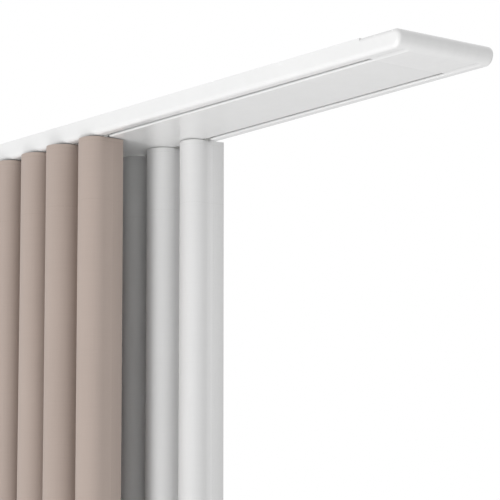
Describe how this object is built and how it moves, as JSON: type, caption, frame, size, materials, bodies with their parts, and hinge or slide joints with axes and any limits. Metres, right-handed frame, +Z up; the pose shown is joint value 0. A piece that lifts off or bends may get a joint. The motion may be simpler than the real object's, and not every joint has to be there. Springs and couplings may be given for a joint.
{
  "type": "double curtain track",
  "caption": "White ceiling-mounted double curtain track with a drawn-back front curtain and a back curtain hung on sliding gliders.",
  "frame": {"origin": "middle of the ceiling screw hole in the middle clip, on the ceiling plane", "axes": "+X along the track towards its open end on the right, +Y from the room to the wall behind, +Z up"},
  "size_m": [1, 0.1552, 1.4263],
  "materials": {
    "lacquered_aluminium": "extruded aluminium, white semi-gloss lacquer",
    "cap_plastic": "moulded plastic, white semi-gloss",
    "clip_steel": "zinc-plated spring steel",
    "lever_steel": "zinc-plated steel",
    "fastener_steel": "zinc-plated steel",
    "glider_nylon": "white moulded nylon",
    "stop_plastic": "white moulded plastic",
    "front_cloth": "taupe opaque plain-weave curtain cloth",
    "back_cloth": "off-white light curtain cloth",
    "heading_tape": "white woven heading tape with hook pockets"
  },
  "bodies": {
    "track": {"track_profile": "lacquered_aluminium", "end_cap_right": "cap_plastic", "end_cap_left": "cap_plastic", "end_cap_screws": "fastener_steel", "ceiling_clip_left": "clip_steel", "ceiling_clip_middle": "clip_steel", "ceiling_clip_right": "clip_steel", "clip_rivets": "fastener_steel", "front_end_stop": "stop_plastic", "back_end_stop": "stop_plastic", "end_stop_screws": "fastener_steel", "front_glider_00": "glider_nylon", "back_glider_00": "glider_nylon", "front_curtain": "front_cloth", "front_heading_tape": "heading_tape", "back_curtain": "back_cloth", "back_heading_tape": "heading_tape"},
    "front_glider_01": {"front_glider_01": "glider_nylon"},
    "front_glider_02": {"front_glider_02": "glider_nylon"},
    "front_glider_03": {"front_glider_03": "glider_nylon"},
    "front_glider_04": {"front_glider_04": "glider_nylon"},
    "front_glider_05": {"front_glider_05": "glider_nylon"},
    "front_glider_06": {"front_glider_06": "glider_nylon"},
    "front_glider_07": {"front_glider_07": "glider_nylon"},
    "front_glider_08": {"front_glider_08": "glider_nylon"},
    "front_glider_09": {"front_glider_09": "glider_nylon"},
    "front_glider_10": {"front_glider_10": "glider_nylon"},
    "front_glider_11": {"front_glider_11": "glider_nylon"},
    "front_glider_12": {"front_glider_12": "glider_nylon"},
    "back_glider_01": {"back_glider_01": "glider_nylon"},
    "back_glider_02": {"back_glider_02": "glider_nylon"},
    "back_glider_03": {"back_glider_03": "glider_nylon"},
    "back_glider_04": {"back_glider_04": "glider_nylon"},
    "back_glider_05": {"back_glider_05": "glider_nylon"},
    "back_glider_06": {"back_glider_06": "glider_nylon"},
    "back_glider_07": {"back_glider_07": "glider_nylon"},
    "back_glider_08": {"back_glider_08": "glider_nylon"},
    "back_glider_09": {"back_glider_09": "glider_nylon"},
    "back_glider_10": {"back_glider_10": "glider_nylon"},
    "back_glider_11": {"back_glider_11": "glider_nylon"},
    "back_glider_12": {"back_glider_12": "glider_nylon"},
    "back_glider_13": {"back_glider_13": "glider_nylon"},
    "back_glider_14": {"back_glider_14": "glider_nylon"},
    "clip_lever_left": {"clip_lever_left": "lever_steel"},
    "clip_lever_middle": {"clip_lever_middle": "lever_steel"},
    "clip_lever_right": {"clip_lever_right": "lever_steel"}
  },
  "joints": [
    {"name": "front_draw", "type": "slide", "parent": "track", "child": "front_glider_01", "axis": [1, 0, 0], "range_m": [-0.0156, 0.0294], "deforming": ["front_curtain", "front_heading_tape"]},
    {"name": "front_follow_02", "type": "slide", "parent": "front_glider_01", "child": "front_glider_02", "axis": [1, 0, 0], "range_m": [-0.0156, 0.0294]},
    {"name": "front_follow_03", "type": "slide", "parent": "front_glider_02", "child": "front_glider_03", "axis": [1, 0, 0], "range_m": [-0.0156, 0.0294]},
    {"name": "front_follow_04", "type": "slide", "parent": "front_glider_03", "child": "front_glider_04", "axis": [1, 0, 0], "range_m": [-0.0156, 0.0294]},
    {"name": "front_follow_05", "type": "slide", "parent": "front_glider_04", "child": "front_glider_05", "axis": [1, 0, 0], "range_m": [-0.0156, 0.0294]},
    {"name": "front_follow_06", "type": "slide", "parent": "front_glider_05", "child": "front_glider_06", "axis": [1, 0, 0], "range_m": [-0.0156, 0.0294]},
    {"name": "front_follow_07", "type": "slide", "parent": "front_glider_06", "child": "front_glider_07", "axis": [1, 0, 0], "range_m": [-0.0156, 0.0294]},
    {"name": "front_follow_08", "type": "slide", "parent": "front_glider_07", "child": "front_glider_08", "axis": [1, 0, 0], "range_m": [-0.0156, 0.0294]},
    {"name": "front_follow_09", "type": "slide", "parent": "front_glider_08", "child": "front_glider_09", "axis": [1, 0, 0], "range_m": [-0.0156, 0.0294]},
    {"name": "front_follow_10", "type": "slide", "parent": "front_glider_09", "child": "front_glider_10", "axis": [1, 0, 0], "range_m": [-0.0156, 0.0294]},
    {"name": "front_follow_11", "type": "slide", "parent": "front_glider_10", "child": "front_glider_11", "axis": [1, 0, 0], "range_m": [-0.0156, 0.0294]},
    {"name": "front_follow_12", "type": "slide", "parent": "front_glider_11", "child": "front_glider_12", "axis": [1, 0, 0], "range_m": [-0.0156, 0.0294]},
    {"name": "back_draw", "type": "slide", "parent": "track", "child": "back_glider_01", "axis": [1, 0, 0], "range_m": [-0.0156, 0.0294], "deforming": ["back_curtain", "back_heading_tape"]},
    {"name": "back_follow_02", "type": "slide", "parent": "back_glider_01", "child": "back_glider_02", "axis": [1, 0, 0], "range_m": [-0.0156, 0.0294]},
    {"name": "back_follow_03", "type": "slide", "parent": "back_glider_02", "child": "back_glider_03", "axis": [1, 0, 0], "range_m": [-0.0156, 0.0294]},
    {"name": "back_follow_04", "type": "slide", "parent": "back_glider_03", "child": "back_glider_04", "axis": [1, 0, 0], "range_m": [-0.0156, 0.0294]},
    {"name": "back_follow_05", "type": "slide", "parent": "back_glider_04", "child": "back_glider_05", "axis": [1, 0, 0], "range_m": [-0.0156, 0.0294]},
    {"name": "back_follow_06", "type": "slide", "parent": "back_glider_05", "child": "back_glider_06", "axis": [1, 0, 0], "range_m": [-0.0156, 0.0294]},
    {"name": "back_follow_07", "type": "slide", "parent": "back_glider_06", "child": "back_glider_07", "axis": [1, 0, 0], "range_m": [-0.0156, 0.0294]},
    {"name": "back_follow_08", "type": "slide", "parent": "back_glider_07", "child": "back_glider_08", "axis": [1, 0, 0], "range_m": [-0.0156, 0.0294]},
    {"name": "back_follow_09", "type": "slide", "parent": "back_glider_08", "child": "back_glider_09", "axis": [1, 0, 0], "range_m": [-0.0156, 0.0294]},
    {"name": "back_follow_10", "type": "slide", "parent": "back_glider_09", "child": "back_glider_10", "axis": [1, 0, 0], "range_m": [-0.0156, 0.0294]},
    {"name": "back_follow_11", "type": "slide", "parent": "back_glider_10", "child": "back_glider_11", "axis": [1, 0, 0], "range_m": [-0.0156, 0.0294]},
    {"name": "back_follow_12", "type": "slide", "parent": "back_glider_11", "child": "back_glider_12", "axis": [1, 0, 0], "range_m": [-0.0156, 0.0294]},
    {"name": "back_follow_13", "type": "slide", "parent": "back_glider_12", "child": "back_glider_13", "axis": [1, 0, 0], "range_m": [-0.0156, 0.0294]},
    {"name": "back_follow_14", "type": "slide", "parent": "back_glider_13", "child": "back_glider_14", "axis": [1, 0, 0], "range_m": [-0.0156, 0.0294]},
    {"name": "lever_left", "type": "hinge", "parent": "track", "child": "clip_lever_left", "pos_m": [-0.362, 0.002, -0.003], "axis": [0, 0, 1], "range_deg": [-75, 0]},
    {"name": "lever_middle", "type": "hinge", "parent": "track", "child": "clip_lever_middle", "pos_m": [0.018, 0.002, -0.003], "axis": [0, 0, 1], "range_deg": [-75, 0]},
    {"name": "lever_right", "type": "hinge", "parent": "track", "child": "clip_lever_right", "pos_m": [0.398, 0.002, -0.003], "axis": [0, 0, 1], "range_deg": [-75, 0]}
  ],
  "couplings": [
    {"joint": "front_follow_02", "follows": "front_draw", "ratio": 1},
    {"joint": "front_follow_03", "follows": "front_draw", "ratio": 1},
    {"joint": "front_follow_04", "follows": "front_draw", "ratio": 1},
    {"joint": "front_follow_05", "follows": "front_draw", "ratio": 1},
    {"joint": "front_follow_06", "follows": "front_draw", "ratio": 1},
    {"joint": "front_follow_07", "follows": "front_draw", "ratio": 1},
    {"joint": "front_follow_08", "follows": "front_draw", "ratio": 1},
    {"joint": "front_follow_09", "follows": "front_draw", "ratio": 1},
    {"joint": "front_follow_10", "follows": "front_draw", "ratio": 1},
    {"joint": "front_follow_11", "follows": "front_draw", "ratio": 1},
    {"joint": "front_follow_12", "follows": "front_draw", "ratio": 1},
    {"joint": "back_follow_02", "follows": "back_draw", "ratio": 1},
    {"joint": "back_follow_03", "follows": "back_draw", "ratio": 1},
    {"joint": "back_follow_04", "follows": "back_draw", "ratio": 1},
    {"joint": "back_follow_05", "follows": "back_draw", "ratio": 1},
    {"joint": "back_follow_06", "follows": "back_draw", "ratio": 1},
    {"joint": "back_follow_07", "follows": "back_draw", "ratio": 1},
    {"joint": "back_follow_08", "follows": "back_draw", "ratio": 1},
    {"joint": "back_follow_09", "follows": "back_draw", "ratio": 1},
    {"joint": "back_follow_10", "follows": "back_draw", "ratio": 1},
    {"joint": "back_follow_11", "follows": "back_draw", "ratio": 1},
    {"joint": "back_follow_12", "follows": "back_draw", "ratio": 1},
    {"joint": "back_follow_13", "follows": "back_draw", "ratio": 1},
    {"joint": "back_follow_14", "follows": "back_draw", "ratio": 1}
  ]
}
